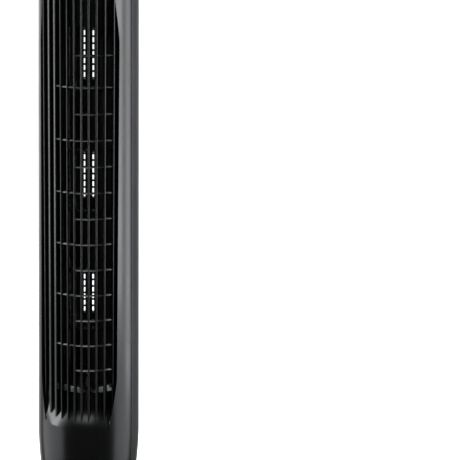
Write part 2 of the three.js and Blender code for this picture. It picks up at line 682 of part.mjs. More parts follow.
function towerFoot() {
  const rim = casingRadius(towerLow) - GAP;
  const collar = casingRadius(towerLow) - WALL - 2;
  const [inner, low] = [SPIGOT_RADIUS - SPIGOT_WALL, sectorHigh + GAP];
  let foot = turned([
    [inner, low], [SPIGOT_RADIUS, low], [SPIGOT_RADIUS, footLow], [rim, footLow], [rim, footHigh],
    [collar, footHigh], [collar, footHigh + FOOT_COLLAR], [collar - WALL, footHigh + FOOT_COLLAR],
    [collar - WALL, footHigh], [inner, footHigh],
  ]);
  for (const angle of swivelScrewAngles) {
    const [x, y] = polar(spigotMiddle, angle);
    foot = foot.subtract(barZ(x, y, SCREW_RADIUS + GAP, low - 1, low + 8, 8));
  }
  return foot;
}

// ---------- base ----------
const baseScrewAngles = [45, 135, 225, 315];

function baseCover() {
  const edge = coverLow + BASE_EDGE_HEIGHT;
  const steps = 5;
  const dome = (inset) => Array.from({ length: steps + 1 }, (_, i) => {
    const turn = 90 * i / steps * DEG;
    const across = (BASE_RADIUS - BASE_TOP_RADIUS) * (1 - Math.sin(turn));
    const up = (BASE_HEIGHT - edge) * (0.35 * (1 - Math.cos(turn)) + 0.65 * Math.sin(turn));
    const lean = turn / 2;
    return [BASE_TOP_RADIUS + across - inset * Math.cos(lean), edge + up - inset * Math.sin(lean + 0.5)];
  });
  const hole = SPIGOT_RADIUS + 1;
  let cover = turned([
    [BASE_RADIUS, coverLow], ...dome(0), [hole, BASE_HEIGHT], [hole, BASE_HEIGHT - BASE_WALL - 0.5],
    ...dome(BASE_WALL).reverse(), [BASE_RADIUS - BASE_WALL, coverLow],
  ], 40);
  for (const angle of baseScrewAngles) {
    const [x, y] = polar(baseScrewCircle, angle);
    cover = cover.add(barZ(x, y, POST_RADIUS, coverLow, edge + 1));
    cover = cover.subtract(barZ(x, y, SCREW_RADIUS + GAP, coverLow - 1, coverLow + 9, 8));
  }
  return cover.subtract(barY(0, GLAND_HEIGHT, GLAND_RADIUS + GAP, BASE_RADIUS - 12, BASE_RADIUS + 5));
}

function basePlate() {
  let plate = disc(BASE_RADIUS - 1, plateLow, plateHigh, 40);
  for (const angle of baseScrewAngles) {
    const [x, y] = polar(baseScrewCircle, angle);
    plate = plate.subtract(barZ(x, y, SCREW_RADIUS + GAP, plateLow - 1, plateHigh + 1, 8));
  }
  return plate;
}

function cordGland() {
  const neck = barY(0, GLAND_HEIGHT, GLAND_RADIUS, BASE_RADIUS - 10, BASE_RADIUS - GAP);
  const wallInside = BASE_RADIUS - BASE_WALL - 2 * GAP;
  const flange = barY(0, GLAND_HEIGHT, GLAND_RADIUS + GLAND_FLANGE, wallInside - 3, wallInside);
  return neck.add(flange).subtract(barY(0, GLAND_HEIGHT, GLAND_BORE, BASE_RADIUS - 11, BASE_RADIUS + 1));
}

// ---------- assembly ----------
place('front_shell', frontShell(), BLACK_GLOSS);
place('rear_shell', rearShell(), BLACK_SATIN);
place('intake_panel', intakePanel(), BLACK_SATIN);
place('grip_cup', gripCup(), BLACK_SATIN);
place('top_cap', topCap(), BLACK_GLOSS);
place('control_panel', controlPanel(), BLACK_GLOSS);
place('indicator_window', indicatorWindow(), SMOKED);
BUTTON_NAMES.forEach((name, i) => {
  place(name, button(i), DARK_GREY);
  place(`${name}_switch`, tactSwitch(i), STEEL);
});
place('control_board', disc(PANEL_RADIUS - 6, boardHigh - BOARD, boardHigh, 24), BOARD_GREEN);

place('bearing_plate', bearingPlate(), DARK_GREY);
place('top_bush', ring(STUB_RADIUS + RUNNING, BUSH_RADIUS, bearingLow, bearingLow + BUSH_RADIUS, 16), BRONZE);
place('duct_scroll', spiralSheet(60, NEAR_IMPELLER, -27, ductEnd), DARK_GREY);
place('duct_tongue', spiralSheet(233, NEAR_IMPELLER, 150, FLOOR_RADIUS), DARK_GREY);
place('impeller', impeller(), BLACK_SATIN);
const stubLow = impellerHigh - DISC / 2 + GAP;
place('impeller_stub', disc(STUB_RADIUS, stubLow, bearingLow + BUSH_RADIUS + 2, 16), STEEL);

place('motor_bracket', motorBracket(), ZINC);
place('motor_lid', motorLid(), ZINC);
place('motor_cup', motorCup(), ZINC);
const statorOuter = MOTOR_RADIUS - MOTOR_WALL - GAP;
place('motor_stator', ring(STATOR_INNER, statorOuter, MOTOR_LOW + 8, motorHigh - 12, 24), COPPER);
place('motor_rotor', ring(SHAFT_RADIUS + GAP, STATOR_INNER - 0.8, MOTOR_LOW + 9, motorHigh - 13, 24), STEEL);
place('motor_shaft', disc(SHAFT_RADIUS, MOTOR_LOW + 2.5, IMPELLER_LOW - 2, 16), STEEL);
motorScrewAngles.forEach((angle, i) => {
  const [x, y] = polar(MOTOR_SCREW_CIRCLE, angle);
  place(`motor_screw_${i + 1}`, screwZ(x, y, bracketHigh + GAP, bracketHigh - motorHigh + 1.4, false), ZINC);
});
place('motor_capacitor', block(-19, 19, -34, -16, towerLow, towerLow + 28), NYLON);

place('tower_foot', towerFoot(), BLACK_SATIN);
place('swivel_sector', swivelSector(), NYLON);
swivelScrewAngles.forEach((angle, i) => {
  const [x, y] = polar(spigotMiddle, angle);
  place(`swivel_screw_${i + 1}`, screwZ(x, y, sectorLow - GAP, GEAR_WIDTH + 7, true), ZINC);
});
eachPost((x, z) => {
  const head = barY(x, z, SCREW_HEAD, POST_SEAT + GAP, POST_SEAT + GAP + SCREW_HEAD_HEIGHT, 10);
  const thread = barY(x, z, SCREW_RADIUS, POST_JOINT - SCREW_DEPTH, POST_SEAT + 1, 8);
  const level = z === postHeights[0] ? 'low' : 'high';
  place(`shell_screw_${level}_${x < 0 ? 'left' : 'right'}`, head.add(thread), ZINC);
});

place('slip_ring', ring(SPIGOT_RADIUS + 4, SPIGOT_RADIUS + 16, slipLow, slipLow + SLIP_RING, 24), NYLON);
place('base_cover', baseCover(), BLACK_GLOSS);
place('base_plate', basePlate(), BLACK_SATIN);
place('ballast_ring', ring(ballastInner, ballastOuter, coverLow, coverLow + BALLAST_HEIGHT, 24), STEEL);
place('swivel_motor', barZ(0, pinionAt, SWIVEL_MOTOR_RADIUS, plateHigh + GAP, swivelMotorHigh, 32)
  .subtract(barZ(0, pinionAt, 2 + RUNNING, swivelMotorHigh - 6, swivelMotorHigh + 1)), ZINC);
place('drive_pinion', drivePinion(), NYLON);
place('pinion_shaft', barZ(0, pinionAt, 2, swivelMotorHigh - 6 + GAP, sectorHigh, 16), STEEL);
place('cord_gland', cordGland(), RUBBER);
baseScrewAngles.forEach((angle, i) => {
  const [x, y] = polar(baseScrewCircle, angle);
  place(`base_screw_${i + 1}`, screwZ(x, y, plateLow - GAP, PLATE + 7, true), ZINC);
});
for (let i = 0; i < FOOT_COUNT; i += 1) {
  const [x, y] = polar(footCircle, 90 + 360 * i / FOOT_COUNT);
  place(`rubber_foot_${i + 1}`, barZ(x, y, FOOT_RADIUS, 0, FOOT_HEIGHT, 16), RUBBER);
}

export default fan;
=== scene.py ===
"""Tower fan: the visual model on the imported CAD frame. Metres, +Z up, air leaves towards -Y."""
import json
import math

import bmesh
import bpy
from mathutils import Matrix, Vector

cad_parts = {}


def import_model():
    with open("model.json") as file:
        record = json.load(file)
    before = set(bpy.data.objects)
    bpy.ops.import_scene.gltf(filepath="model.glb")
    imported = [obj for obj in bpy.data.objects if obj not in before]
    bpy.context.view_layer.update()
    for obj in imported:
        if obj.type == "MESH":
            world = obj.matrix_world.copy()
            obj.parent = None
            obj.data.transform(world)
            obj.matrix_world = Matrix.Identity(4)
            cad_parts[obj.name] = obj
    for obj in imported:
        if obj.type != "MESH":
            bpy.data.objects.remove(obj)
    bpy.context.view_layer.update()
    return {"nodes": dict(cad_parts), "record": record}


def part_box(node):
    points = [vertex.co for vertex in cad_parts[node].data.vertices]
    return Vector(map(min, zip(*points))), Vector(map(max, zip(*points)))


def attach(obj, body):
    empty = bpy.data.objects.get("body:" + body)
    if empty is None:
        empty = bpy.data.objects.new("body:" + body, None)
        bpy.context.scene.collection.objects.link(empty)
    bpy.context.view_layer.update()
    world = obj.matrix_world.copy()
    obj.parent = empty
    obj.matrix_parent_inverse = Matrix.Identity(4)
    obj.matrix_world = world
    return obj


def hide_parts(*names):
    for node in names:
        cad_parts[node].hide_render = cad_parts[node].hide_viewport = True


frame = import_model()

MM = 0.001

# ---------- sizes, from the frame or as in the CAD ----------
GAP = 0.3 * MM                 # between mouldings that meet
SHELL_LOW, SHELL_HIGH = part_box("front_shell")[0].z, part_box("front_shell")[1].z
RADIUS_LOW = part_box("rear_shell")[1].x
RADIUS_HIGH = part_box("top_cap")[1].x
CAP_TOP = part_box("top_cap")[1].z
CAP_LOW = SHELL_HIGH + GAP
CURVE_TOP = 130 * MM           # the casing curves in below this
CURVE_RADIUS = 510 * MM
WALL = 2.2 * MM
SEAM = 75                      # degrees from the front
FLOOR_RADIUS = 50 * MM
FIN_RADIUS = 58 * MM
FIN_PITCH = 8.4 * MM
FIN_COUNT = 11
FIN_THICKNESS = 2.3 * MM
FIN_TRIM = 6 * MM              # fins end this far inside the recess's tips
RECESS_HALF = 48 * MM
RECESS_TAPER = 7.5 * MM
OUTLET_LOW = 187 * MM
OUTLET_HIGH = CAP_LOW - 69.5 * MM
RECESS_LOW = OUTLET_LOW - 44 * MM
RECESS_HIGH = OUTLET_HIGH + 60 * MM
OUTLET_LEFT = -28 * MM
OUTLET_RIGHT = 41.6 * MM
RIB_PITCH = 31.25 * MM
RIB_COUNT = 13
INTAKE_LOW, INTAKE_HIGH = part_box("intake_panel")[0].z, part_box("intake_panel")[1].z
INTAKE_PITCH = 8.5 * MM
INTAKE_BAR = 2.5 * MM
INTAKE_HALF_ANGLE = 45
INTAKE_BORDER = 6 * MM
GRIP_HALF = 37 * MM            # half the grip opening's width, at this height
GRIP_HEIGHT = 667 * MM
SECTIONS = 6                   # of the impeller
PANEL_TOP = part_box("control_panel")[1].z
PANEL_THICKNESS = 2.5 * MM
KEY_FLANGE = 1.2 * MM          # a button's flange past its key, on each side
BUTTONS = ["power_button", "speed_button", "timer_button", "swing_button"]

# ---------- details of the visual model ----------
SHARP_ANGLE = math.radians(38)
SHELL_EDGE = 0.8 * MM          # height of the rounding at a shell's ends
SEAM_INSET = 0.25 * MM         # a shell's rounding at the seam, and just beside it
NEAR_SEAM_INSET = 0.03 * MM
FLOOR_STRAIGHT = 16 * MM       # upright floor past each end of the outlet
FLOOR_RISE = 0.6               # share of the floor's depth that it comes out by at the far left
RECESS_TRIM = 0.8 * MM         # the recess's edge lies this far inside the CAD's
TAPER_OVERLAP = 18 * MM        # the recess tapers from this far inside the outlet's ends
TAPER_POWER = 1.3
WALL_POINTS = [(0.9 * MM, 0.96), (0.35 * MM, 0.8), (0.1 * MM, 0.4)]  # in from the edge, share of the depth
LIP_WIDTH = 1.3 * MM           # of the eased edge round the recess
OUTLET_COLUMNS = 14            # of the front shell's mesh over the outlet
BROAD_FINS = (1, 2)            # indices from 0 at the left
BROAD_TURN = math.radians(-22)  # the way a broad fin faces, from the front towards +X
BROAD_HALF = 1.75 * MM
BROAD_FACE = [(-1, -0.3), (-0.9, -0.06), (-0.7, 0.02), (0, 0.12), (0.7, 0.02), (0.9, -0.06), (0.98, -0.25)]
RIB_RADIUS = 55.4 * MM
RIB_DEPTH = 3.6 * MM
RIB_HEIGHT = 1.8 * MM
BLADES = 18
FIRST_BLADE = -72.7            # degrees from +X
STAGGER = 0.38                 # of a blade's pitch, in every second section
PRINT_HALF = 0.06 * MM         # half the thickness of a key's pictogram
COOL_WHITE = (0.96, 0.985, 1.0)
# each softbox: name, azimuth in degrees, low and high end and width in metres, radiance
SOFTBOXES = [
    ("right_strip", 88, 0.02, 1.7, 0.3, 6.5),
    ("right_softbox", 100, -0.5, 2.6, 0.85, 1.6),
    ("right_fill", 117, -0.15, 1.7, 0.3, 2.8),
    ("left_softbox", -75, -0.5, 2.6, 1.3, 1.4),
    ("left_strip", -62, 0.05, 2.6, 0.25, 8),
]


# ---------- mesh tools ----------
class Shape:
    """Vertices and faces gathered from the parts of one moulding."""

    def __init__(self):
        self.verts = []
        self.faces = []

    def add(self, verts, faces):
        start = len(self.verts)
        self.verts += [Vector(v) for v in verts]
        self.faces += [tuple(start + i for i in face) for face in faces]

    def grid(self, rows, closed=False, skip=None):
        """Rows of points, each as long as the next. skip(i, j) leaves a cell open."""
        width = len(rows[0])
        faces = []
        for i in range(len(rows) - 1):
            for j in range(width if closed else width - 1):
                if skip and skip(i, j):
                    continue
                k = (j + 1) % width
                faces.append((i * width + j, i * width + k, (i + 1) * width + k, (i + 1) * width + j))
        self.add([p for row in rows for p in row], faces)

    def loft(self, loops):
        """Closed loops joined into a tube with both ends capped."""
        start = len(self.verts)
        self.grid(loops, closed=True)
        width = len(loops[0])
        last = start + (len(loops) - 1) * width
        self.faces.append(tuple(start + i for i in reversed(range(width))))
        self.faces.append(tuple(last + i for i in range(width)))

    def lathe(self, profile, segments, closed=True):
        """A profile of (radius, height) points turned about Z; open profiles end on the axis."""
        rows = []
        points = list(profile) + ([profile[0]] if closed else [])
        for r, z in points:
            rows.append([(r * math.cos(a), r * math.sin(a), z) for a in turn_angles(segments)])
        self.grid(rows, closed=True)


def turn_angles(segments):
    return [2 * math.pi * i / segments for i in range(segments)]


def spread(start, stop, steps):
    return [start + (stop - start) * i / steps for i in range(steps + 1)]


def smooth_step(t):
    t = min(max(t, 0.0), 1.0)
    return t * t * (3 - 2 * t)


def rounded_loop(width, height, radius, steps):
    """A rounded rectangle about the origin, counter-clockwise."""
    points = []
    for k, (sx, sy) in enumerate([(1, 1), (-1, 1), (-1, -1), (1, -1)]):
        for a in spread(k * 90, k * 90 + 90, steps):
            x = sx * (width / 2 - radius) + radius * math.cos(math.radians(a))
            y = sy * (height / 2 - radius) + radius * math.sin(math.radians(a))
            points.append((x, y))
    return points


def middle_of(box):
    """The middle of a box from above."""
    low, high = box
    return (low.x + high.x) / 2, (low.y + high.y) / 2


def outline_at(outline, x, y, z):
    """A flat outline set down level, with its middle at a point."""
    return [(x + u, y + v, z) for u, v in outline]


def round_post(shape, x, y, radius, low, high, segments):
    """An upright cylinder."""
    outline = [(radius * math.cos(a), radius * math.sin(a)) for a in turn_angles(segments)]
    shape.loft([outline_at(outline, x, y, z) for z in (low, high)])


def filleted(points, radius, steps=4):
    """A closed profile with its corners rounded, less where a side is short."""
    out = []
    n = len(points)
    for i in range(n):
        before, here, after = (Vector(points[(i + k) % n]) for k in (-1, 0, 1))
        to_before, to_after = before - here, after - here
        reach = min(radius, 0.45 * to_before.length, 0.45 * to_after.length)
        if to_before.normalized().dot(to_after.normalized()) < -0.97:
            out.append(here)
            continue
        a, b = here + to_before.normalized() * reach, here + to_after.normalized() * reach
        for t in spread(0, 1, steps):
            out.append(a * (1 - t) ** 2 + here * 2 * t * (1 - t) + b * t * t)
    return [(p.x, p.y) for p in out]


def made(name, shape, material, outward=True):
    """An object from a shape, smooth but for its sharp edges."""
    mesh = bpy.data.meshes.new(name)
    mesh.from_pydata(shape.verts, [], shape.faces)
    bm = bmesh.new()
    bm.from_mesh(mesh)
    bmesh.ops.remove_doubles(bm, verts=bm.verts, dist=1e-6)
    if outward:
        bmesh.ops.recalc_face_normals(bm, faces=bm.faces)
    soften(bm)
    bm.to_mesh(mesh)
    bm.free()
    mesh.materials.append(material)
    piece = bpy.data.objects.new(name, mesh)
    bpy.context.collection.objects.link(piece)
    return piece


def soften(bm):
    """Smooth shading, except over open or sharp edges."""
    for face in bm.faces:
        face.smooth = True
    for edge in bm.edges:
        edge.smooth = edge.is_manifold and edge.calc_face_angle(0) < SHARP_ANGLE


def apply_modifier(piece, kind, **settings):
    """Runs one modifier into the mesh and marks its sharp edges again."""
    modifier = piece.modifiers.new(kind.lower(), kind)
    for key, value in settings.items():
        setattr(modifier, key, value)
    bpy.context.view_layer.objects.active = piece
    bpy.ops.object.modifier_apply(modifier=modifier.name)
    bm = bmesh.new()
    bm.from_mesh(piece.data)
    soften(bm)
    bm.to_mesh(piece.data)
    bm.free()


def thicken(sheet):
    """Gives a casing sheet its wall, inwards."""
    apply_modifier(sheet, "SOLIDIFY", thickness=WALL, offset=-1)


def cut(piece, cutter):
    """Takes the cutter's shape out of the piece and discards the cutter."""
    apply_modifier(piece, "BOOLEAN", object=cutter, operation="DIFFERENCE", solver="EXACT")
    bpy.data.objects.remove(cutter)


def stands_for(piece, body, slot, *nodes):
    """Rides a piece on its body, in place of the CAD nodes named."""
    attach(piece, body)
    if nodes:
        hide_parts(*nodes)


# ---------- materials ----------
def principled(name, color, roughness, metallic=0.0):
    material = bpy.data.materials.new(name)
    material.use_nodes = True
    shader = material.node_tree.nodes["Principled BSDF"]
    shader.inputs["Base Color"].default_value = (*color, 1)
    shader.inputs["Roughness"].default_value = roughness
    shader.inputs["Metallic"].default_value = metallic
    shader.inputs["IOR"].default_value = 1.5
    return material, shader


def noise(material, scale, detail, stretch=(1, 1, 1)):
    """Noise in the piece's own space, finer where the scale is larger."""
    nodes, links = material.node_tree.nodes, material.node_tree.links
    place = nodes.new("ShaderNodeTexCoord")
    mapping = nodes.new("ShaderNodeMapping")
    mapping.inputs["Scale"].default_value = stretch
    texture = nodes.new("ShaderNodeTexNoise")
    texture.inputs["Scale"].default_value = scale
    texture.inputs["Detail"].default_value = detail
    links.new(place.outputs["Object"], mapping.inputs["Vector"])
    links.new(mapping.outputs["Vector"], texture.inputs["Vector"])
    return texture.outputs["Fac"]


def spread_over(material, value, low, high):
    """Stretches the middle of a noise over a range."""
    nodes, links = material.node_tree.nodes, material.node_tree.links
    rescale = nodes.new("ShaderNodeMapRange")
    rescale.inputs["From Min"].default_value = 0.3
    rescale.inputs["From Max"].default_value = 0.7
    rescale.inputs["To Min"].default_value = low
    rescale.inputs["To Max"].default_value = high
    links.new(value, rescale.inputs["Value"])
    return rescale.outputs["Result"]


def bumped(material, shader, value, distance):
    nodes, links = material.node_tree.nodes, material.node_tree.links
    bump = nodes.new("ShaderNodeBump")
    bump.inputs["Strength"].default_value = 0.4
    bump.inputs["Distance"].default_value = distance
    links.new(value, bump.inputs["Height"])
    links.new(bump.outputs["Normal"], shader.inputs["Normal"])


def tinted(material, shader, value, dark, light):
    """Varies the base colour between two shades."""
    nodes, links = material.node_tree.nodes, material.node_tree.links
    mix = nodes.new("ShaderNodeMixRGB")
    mix.inputs["Color1"].default_value = (*dark, 1)
    mix.inputs["Color2"].default_value = (*light, 1)
    links.new(value, mix.inputs["Fac"])
    links.new(mix.outputs["Color"], shader.inputs["Base Color"])


def moulded(name, dark, light, rough_low, rough_high, grain, grain_depth):
    """Moulded plastic: cloudy gloss from handling over a fine grain."""
    cloud_scale, shade_scale = 22, 60
    material, shader = principled(name, light, rough_low)
    roughness = spread_over(material, noise(material, cloud_scale, 4), rough_low, rough_high)
    material.node_tree.links.new(roughness, shader.inputs["Roughness"])
    tinted(material, shader, noise(material, shade_scale, 3), dark, light)
    bumped(material, shader, noise(material, grain, 2), grain_depth)
    return material


def brushed(name, color, roughness, stretch):
    """Bare metal with fine tool marks, longest where the stretch is least."""
    mark_scale, mark_depth, shade_scale = 900, 0.02 * MM, 90
    material, shader = principled(name, color, roughness, metallic=1.0)
    marks = noise(material, mark_scale, 3, stretch)
    varied = spread_over(material, marks, roughness * 0.7, roughness * 1.4)
    material.node_tree.links.new(varied, shader.inputs["Roughness"])
    dark = tuple(c * 0.75 for c in color)
    tinted(material, shader, noise(material, shade_scale, 2), dark, color)
    bumped(material, shader, marks, mark_depth)
    return material


GLOSS = moulded("gloss_black", (0.0012, 0.0013, 0.0015), (0.002, 0.0022, 0.0025), 0.22, 0.28, 260, 0.012 * MM)
SATIN = moulded("satin_black", (0.005, 0.0054, 0.006), (0.008, 0.0086, 0.0095), 0.38, 0.48, 2600, 0.05 * MM)
INNER = moulded("inner_black", (0.002, 0.0021, 0.0022), (0.0035, 0.0037, 0.004), 0.45, 0.58, 1800, 0.04 * MM)
KEY_GREY = moulded("key_grey", (0.045, 0.047, 0.05), (0.06, 0.063, 0.067), 0.4, 0.5, 2600, 0.04 * MM)
RUBBER = moulded("black_rubber", (0.008, 0.008, 0.008), (0.016, 0.016, 0.016), 0.75, 0.9, 1500, 0.08 * MM)
NYLON = moulded("natural_nylon", (0.62, 0.6, 0.53), (0.72, 0.7, 0.64), 0.4, 0.5, 1200, 0.03 * MM)
BOARD = moulded("solder_mask", (0.01, 0.07, 0.03), (0.015, 0.1, 0.045), 0.3, 0.4, 700, 0.03 * MM)
STATOR = moulded("windings", (0.16, 0.06, 0.025), (0.3, 0.13, 0.05), 0.35, 0.5, 500, 0.2 * MM)
WINDOW = moulded("smoked_lens", (0.02, 0.004, 0.004), (0.03, 0.006, 0.006), 0.08, 0.12, 200, 0.004 * MM)
ICON = moulded("printed_white", (0.6, 0.61, 0.62), (0.7, 0.71, 0.72), 0.45, 0.55, 1500, 0.01 * MM)
STEEL = brushed("turned_steel", (0.5, 0.51, 0.53), 0.28, (1, 1, 12))
ZINC = brushed("zinc_plate", (0.62, 0.64, 0.66), 0.35, (2, 1, 1))
BRONZE = brushed("sintered_bronze", (0.42, 0.28, 0.13), 0.45, (1, 1, 1))


# ---------- casing ----------
def casing_radius(z):
    """A slight taper, and a foot that curves in."""
    if z < CURVE_TOP:
        return RADIUS_LOW - (CURVE_TOP - z) ** 2 / (2 * CURVE_RADIUS)
    return RADIUS_LOW + (RADIUS_HIGH - RADIUS_LOW) * (z - CURVE_TOP) / (CAP_LOW - CURVE_TOP)


def on_casing(angle, z, inset=0.0):
    """A point on the casing, by its angle in degrees from the front towards +X."""
    r, a = casing_radius(z) - inset, math.radians(angle)
    return (r * math.sin(a), -r * math.cos(a), z)


def recess_depth(z):
    """How far the floor lies below the casing here, from 0 to 1."""
    low = smooth_step((z - RECESS_LOW) / (OUTLET_LOW - FLOOR_STRAIGHT - RECESS_LOW))
    return low * smooth_step((RECESS_HIGH - z) / (RECESS_HIGH - OUTLET_HIGH - FLOOR_STRAIGHT))


def front_y(radius, x):
    """The front's Y on an upright cylinder about the axis."""
    return -math.sqrt(max(radius * radius - x * x, 1e-9))


def recess_half(z):
    """Half the recess's width: full beside the outlet, and tapered towards both tips."""
    low = (OUTLET_LOW + TAPER_OVERLAP - z) / (OUTLET_LOW + TAPER_OVERLAP - RECESS_LOW)
    high = (z - OUTLET_HIGH + TAPER_OVERLAP) / (RECESS_HIGH - OUTLET_HIGH + TAPER_OVERLAP)
    return RECESS_HALF - RECESS_TRIM - RECESS_TAPER * min(max(low, high, 0.0), 1.0) ** TAPER_POWER


def edge_inset(z):
    """How far the rounding at a shell's ends lies inside the casing."""
    near = min(z - SHELL_LOW, SHELL_HIGH - z)
    return 0.5 * MM * max(0.0, 1 - near / SHELL_EDGE) ** 2


def levels(start, stops):
    """Heights from a start through each stop, with that many steps to reach it."""
    heights = [start]
    for z, steps in stops:
        heights += spread(heights[-1], z, steps)[1:]
    return heights


def front_row(z):
    """One level of the front shell, from its left seam across the recess to its right seam."""
    r, depth, half = casing_radius(z), recess_depth(z), recess_half(z)
    floor_radius = r + (FLOOR_RADIUS - r) * depth

    def wall(x, share):
        """A point some share of the way down from the casing to the floor."""
        top, bottom = front_y(r, x), front_y(floor_radius, min(x, floor_radius * 0.995))
        return (x, top + (bottom - top) * share, z)

    def rise(x):
        """The floor comes out a little towards the left."""
        return FLOOR_RISE * depth * (r - FLOOR_RADIUS) * max(0.0, (OUTLET_LEFT - x) / (half + OUTLET_LEFT))

    wall_foot = half - 1.8 * MM
    right = min(OUTLET_RIGHT, half - 2.6 * MM)
    columns = spread(-wall_foot, OUTLET_LEFT, 6) + spread(OUTLET_LEFT, right, OUTLET_COLUMNS)[1:]
    columns += spread(right, wall_foot, 2)[1:]
    middle = [(x, front_y(floor_radius + rise(x), x), z) for x in columns]
    eased = 0.3 * LIP_WIDTH * depth
    side = [wall(half - inwards, share) for inwards, share in WALL_POINTS]
    side += [(half + eased, front_y(r, half) + eased, z), wall(half + LIP_WIDTH, 0.0)]
    lip_angle = math.degrees(math.asin((half + LIP_WIDTH) / r))
    side += [on_casing(a, z, edge_inset(z)) for a in spread(lip_angle, SEAM - 0.8, 10)[1:]]
    side += [on_casing(SEAM - 0.2, z, NEAR_SEAM_INSET + edge_inset(z)), on_casing(SEAM - 0.05, z, SEAM_INSET)]
    return [(-x, y, z) for x, y, z in reversed(side)] + middle + side


def front_heights():
    """Levels of the front shell, closer where its shape changes."""
    near = 20 * MM
    return levels(SHELL_LOW, [
        (SHELL_LOW + SHELL_EDGE, 3), (CURVE_TOP, 14), (RECESS_LOW, 2), (OUTLET_LOW, 22),
        (OUTLET_LOW + near, 4), (OUTLET_HIGH - near, 16), (OUTLET_HIGH, 4), (RECESS_HIGH, 22),
        (SHELL_HIGH - SHELL_EDGE, 2), (SHELL_HIGH, 3),
    ])


def fin_loop(x, z, broad):
    """A fin's section: a rounded front, or on a broad fin a wide face turned to the left."""
    front, back = front_y(FIN_RADIUS, x), front_y(FLOOR_RADIUS - MM, x)
    t = FIN_THICKNESS / 2
    tail = [(x + t * 0.9 * math.cos(a), back - t + t * math.sin(a)) for a in spread(0, math.pi, 4)]
    if broad:
        along = Vector((math.cos(BROAD_TURN), math.sin(BROAD_TURN))) * BROAD_HALF
        out = Vector((math.sin(BROAD_TURN), -math.cos(BROAD_TURN))) * BROAD_HALF
        middle = Vector((x - 0.3 * MM, front + 0.9 * t))
        face = [tuple(middle + along * u + out * v) for u, v in BROAD_FACE]
        neck = front + 3.5 * t
        nose = [(x - t, neck)] + face + [(x + t, neck)]
    else:
        nose = [(x - t * math.cos(a), front + t - t * math.sin(a)) for a in spread(0, math.pi, 10)]
    return [(px, py, z) for px, py in nose + tail]


def rib(shape, z, x_from, x_to):
    """A cross rib along a circle about the axis, its front sloped back towards the top."""
    tip, back, h = RIB_DEPTH / 2, -RIB_DEPTH / 2, RIB_HEIGHT / 2
    section = filleted([(tip, -h), (tip - 0.9 * RIB_HEIGHT, h), (back, h), (back, -h)], 0.3 * MM, 3)
    loops = []
    for a in spread(math.asin(x_from / RIB_RADIUS), math.asin(x_to / RIB_RADIUS), 20):
        s, c = math.sin(a), math.cos(a)
        loops.append([((RIB_RADIUS + u) * s, -(RIB_RADIUS + u) * c, z + v) for u, v in section])
    shape.loft(loops)


def front_shell():
    """The gloss front, with its recess and the open outlet."""
    heights = front_heights()
    rows = [front_row(z) for z in heights]
    left = next(j for j, p in enumerate(rows[0]) if abs(p[0] - OUTLET_LEFT) < 1e-9)

    def over_outlet(i, j):
        level = heights[i] > OUTLET_LOW - 1e-6 and heights[i + 1] < OUTLET_HIGH + 1e-6
        return level and left <= j < left + OUTLET_COLUMNS

    sheet = Shape()
    sheet.grid(rows, skip=over_outlet)
    shell = made("front_shell_moulding", sheet, GLOSS, outward=False)
    thicken(shell)
    stands_for(shell, "tower", "shell_gloss", "front_shell")


def grille():
    """The upright fins, and the cross ribs behind their fronts. Every second rib is full width."""
    shape = Shape()
    for k in range(FIN_COUNT):
        x = (k - (FIN_COUNT - 1) / 2) * FIN_PITCH
        heights = spread(RECESS_LOW + FIN_TRIM, RECESS_HIGH - FIN_TRIM, 12)
        shape.loft([fin_loop(x, z, k in BROAD_FINS) for z in heights])
    for i in range(1, RIB_COUNT + 1):
        z = OUTLET_LOW + i * RIB_PITCH if i < RIB_COUNT else OUTLET_HIGH - RIB_PITCH
        rib(shape, z, -3 * FIN_PITCH if i % 2 == 0 else 0.0, 5 * FIN_PITCH)
    stands_for(made("outlet_fins", shape, GLOSS), "tower", "shell_gloss", "front_shell")


def rear_angles():
    """The rear shell's columns, with the edges of its window and of its grip opening."""
    side = 180 - INTAKE_HALF_ANGLE - 0.3
    grip = 180 - math.degrees(math.asin(GRIP_HALF / casing_radius(GRIP_HEIGHT)))
    left = [SEAM + 0.2, SEAM + 0.4, SEAM + 1.1] + spread(SEAM + 1.1, side, 14)[1:] + [grip]
    half = left + spread(grip, 180, 10)[1:]
    return half + [360 - a for a in reversed(half[:-1])], side, grip


def rear_shell():
    """The satin back, with its window, grip opening and screw wells."""
    angles, side, grip = rear_angles()
    grip_low, grip_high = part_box("grip_cup")[0].z - GAP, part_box("grip_cup")[1].z + GAP
    window_low, window_high = INTAKE_LOW - GAP, INTAKE_HIGH + GAP
    heights = levels(SHELL_LOW, [
        (SHELL_LOW + SHELL_EDGE, 3), (CURVE_TOP, 14), (window_low, 6), (window_high, 20),
        (grip_low, 4), (grip_high, 6), (SHELL_HIGH - SHELL_EDGE, 4), (SHELL_HIGH, 3),
    ])
    last = len(angles) - 1
    seam_insets = {0: SEAM_INSET, 1: NEAR_SEAM_INSET, last - 1: NEAR_SEAM_INSET, last: SEAM_INSET}
    rows = []
    for z in heights:
        insets = [edge_inset(z) + seam_insets.get(j, 0.0) for j in range(len(angles))]
        rows.append([on_casing(a, z, inset) for a, inset in zip(angles, insets)])

    def in_opening(i, j):
        a, z = (angles[j] + angles[j + 1]) / 2, (heights[i] + heights[i + 1]) / 2
        in_window = abs(a - 180) < 180 - side and window_low < z < window_high
        return in_window or (abs(a - 180) < 180 - grip and grip_low < z < grip_high)

    sheet = Shape()
    sheet.grid(rows, skip=in_opening)
    shell = made("rear_shell_moulding", sheet, SATIN, outward=False)
    thicken(shell)
    wells, collars = screw_wells()
    cut(shell, made("wells", wells, SATIN))
    stands_for(shell, "tower", "shell_satin", "rear_shell")
    stands_for(made("screw_posts", collars, SATIN), "tower", "shell_satin", "rear_shell")


